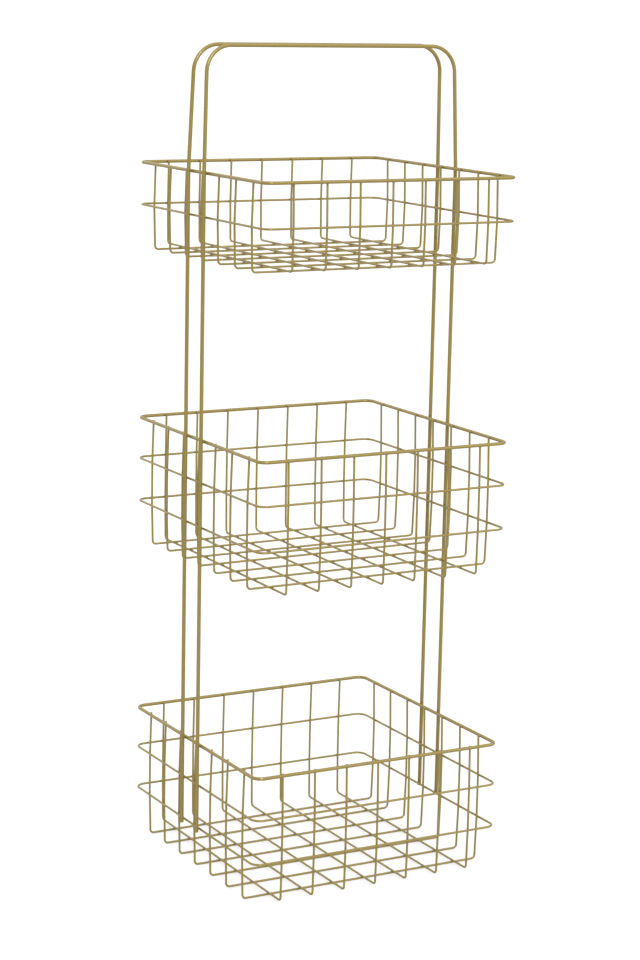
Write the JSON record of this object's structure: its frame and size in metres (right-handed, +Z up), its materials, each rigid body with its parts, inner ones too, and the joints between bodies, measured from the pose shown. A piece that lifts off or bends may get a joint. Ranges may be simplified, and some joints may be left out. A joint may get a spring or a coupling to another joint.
{
  "type": "wire basket caddy",
  "caption": "Tall open caddy of square wire baskets stacked between inverted-U rods whose tops form a double carrying handle, for storing bottles, towels and toiletries.",
  "frame": {"origin": "middle of the footprint, on the surface that the caddy stands on", "axes": "+Z up, X along the handle from the left legs to the right legs, +Y to the back"},
  "size_m": [0.318, 0.3088, 0.9173],
  "materials": {
    "frame_gold_paint": "satin metallic gold coat",
    "rim_gold_paint": "satin metallic gold coat",
    "ring_gold_paint": "satin metallic gold coat",
    "mesh_gold_paint": "satin metallic gold coat"
  },
  "bodies": {
    "root": {"bottom_rim": "rim_gold_paint", "bottom_upper_ring": "ring_gold_paint", "bottom_lower_ring": "ring_gold_paint", "bottom_cross_wire_1": "mesh_gold_paint", "bottom_cross_wire_2": "mesh_gold_paint", "bottom_cross_wire_3": "mesh_gold_paint", "bottom_cross_wire_4": "mesh_gold_paint", "bottom_cross_wire_5": "mesh_gold_paint", "bottom_cross_wire_6": "mesh_gold_paint", "bottom_cross_wire_7": "mesh_gold_paint", "bottom_depth_wire_1": "mesh_gold_paint", "bottom_depth_wire_2": "mesh_gold_paint", "bottom_depth_wire_3": "mesh_gold_paint", "bottom_depth_wire_4": "mesh_gold_paint", "bottom_depth_wire_5": "mesh_gold_paint", "bottom_depth_wire_6": "mesh_gold_paint", "bottom_depth_wire_7": "mesh_gold_paint", "middle_rim": "rim_gold_paint", "middle_upper_ring": "ring_gold_paint", "middle_lower_ring": "ring_gold_paint", "middle_cross_wire_1": "mesh_gold_paint", "middle_cross_wire_2": "mesh_gold_paint", "middle_cross_wire_3": "mesh_gold_paint", "middle_cross_wire_4": "mesh_gold_paint", "middle_cross_wire_5": "mesh_gold_paint", "middle_cross_wire_6": "mesh_gold_paint", "middle_cross_wire_7": "mesh_gold_paint", "middle_depth_wire_1": "mesh_gold_paint", "middle_depth_wire_2": "mesh_gold_paint", "middle_depth_wire_3": "mesh_gold_paint", "middle_depth_wire_4": "mesh_gold_paint", "middle_depth_wire_5": "mesh_gold_paint", "middle_depth_wire_6": "mesh_gold_paint", "middle_depth_wire_7": "mesh_gold_paint", "top_rim": "rim_gold_paint", "top_upper_ring": "ring_gold_paint", "top_cross_wire_1": "mesh_gold_paint", "top_cross_wire_2": "mesh_gold_paint", "top_cross_wire_3": "mesh_gold_paint", "top_cross_wire_4": "mesh_gold_paint", "top_cross_wire_5": "mesh_gold_paint", "top_cross_wire_6": "mesh_gold_paint", "top_cross_wire_7": "mesh_gold_paint", "top_depth_wire_1": "mesh_gold_paint", "top_depth_wire_2": "mesh_gold_paint", "top_depth_wire_3": "mesh_gold_paint", "top_depth_wire_4": "mesh_gold_paint", "top_depth_wire_5": "mesh_gold_paint", "top_depth_wire_6": "mesh_gold_paint", "top_depth_wire_7": "mesh_gold_paint", "rear_frame": "frame_gold_paint", "front_frame": "frame_gold_paint"}
  },
  "joints": []
}
